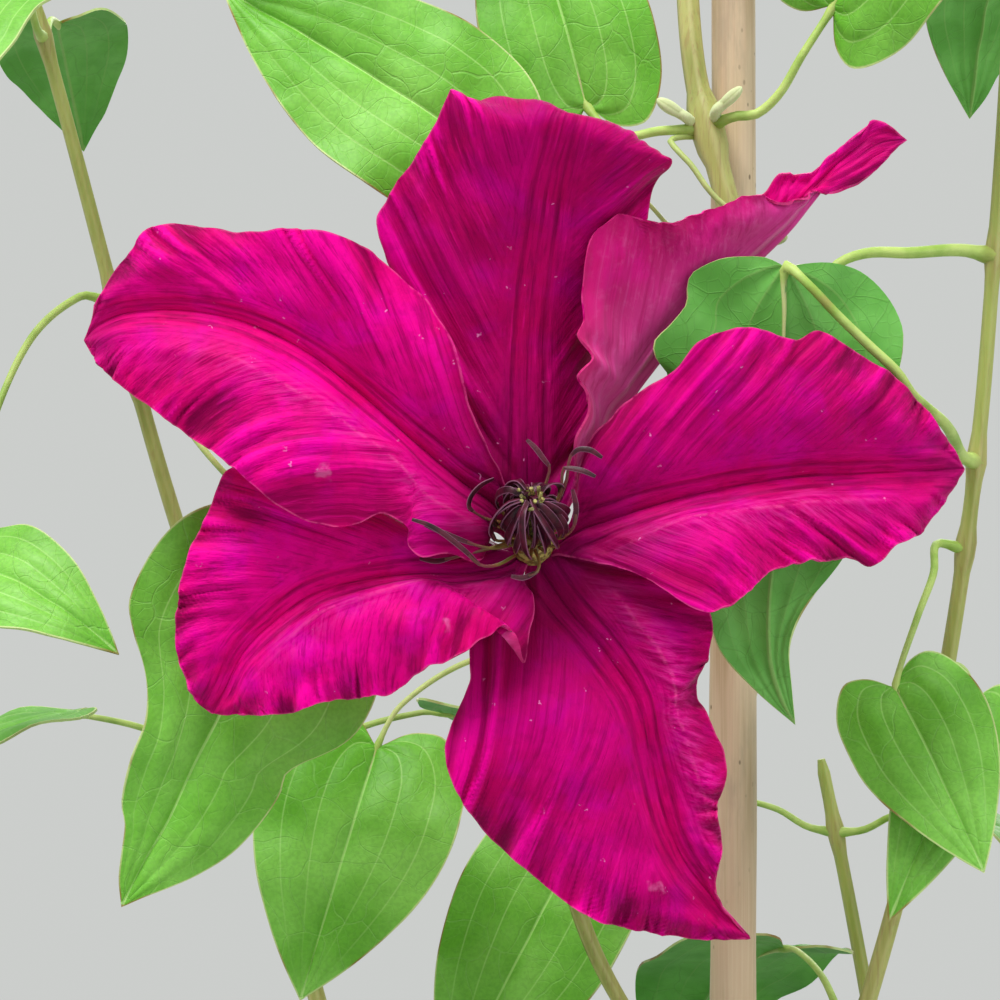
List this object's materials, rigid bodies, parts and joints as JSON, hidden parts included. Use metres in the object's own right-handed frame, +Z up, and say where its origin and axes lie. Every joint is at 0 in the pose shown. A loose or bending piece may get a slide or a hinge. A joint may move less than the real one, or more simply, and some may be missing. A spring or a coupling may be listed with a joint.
{
  "type": "potted clematis",
  "caption": "Climbing garden plant with a large magenta bloom and heart-shaped leaves, winding up a bamboo cane in a tapered clay pot.",
  "frame": {"origin": "centre of the pot's underside", "axes": "+Z up along the cane, -Y towards the side that the bloom faces, +X to the right seen from that side"},
  "size_m": [0.2706, 0.2262, 0.668],
  "materials": {
    "clay": "matte",
    "compost": "matte",
    "bamboo": "satin",
    "stem": "satin",
    "leaf": "satin",
    "tepal": "satin",
    "stamen": "satin",
    "bud": "satin"
  },
  "bodies": {
    "root": {"bloom_stalk": "stem", "bloom_stamens": "stamen", "bloom_tepals": "tepal", "bud_left": "bud", "bud_right": "bud", "cane": "bamboo", "compost": "compost", "leaf_above": "leaf", "leaf_above_right": "leaf", "leaf_back_1": "leaf", "leaf_back_2": "leaf", "leaf_back_3": "leaf", "leaf_back_4": "leaf", "leaf_back_5": "leaf", "leaf_back_6": "leaf", "leaf_back_7": "leaf", "leaf_behind_right": "leaf", "leaf_behind_right_low": "leaf", "leaf_below": "leaf", "leaf_below_middle": "leaf", "leaf_clasping": "leaf", "leaf_far_left": "leaf", "leaf_left_1": "leaf", "leaf_left_10": "leaf", "leaf_left_2": "leaf", "leaf_left_3": "leaf", "leaf_left_4": "leaf", "leaf_left_5": "leaf", "leaf_left_6": "leaf", "leaf_left_7": "leaf", "leaf_left_8": "leaf", "leaf_left_9": "leaf", "leaf_lower_left": "leaf", "leaf_lower_right": "leaf", "leaf_main_1": "leaf", "leaf_main_10": "leaf", "leaf_main_11": "leaf", "leaf_main_12": "leaf", "leaf_main_2": "leaf", "leaf_main_3": "leaf", "leaf_main_4": "leaf", "leaf_main_5": "leaf", "leaf_main_6": "leaf", "leaf_main_7": "leaf", "leaf_main_8": "leaf", "leaf_main_9": "leaf", "leaf_right_1": "leaf", "leaf_right_2": "leaf", "leaf_right_3": "leaf", "leaf_right_4": "leaf", "pot": "clay", "shoot_right": "stem", "stem_back": "stem", "stem_left": "stem", "stem_main": "stem"}
  },
  "joints": []
}
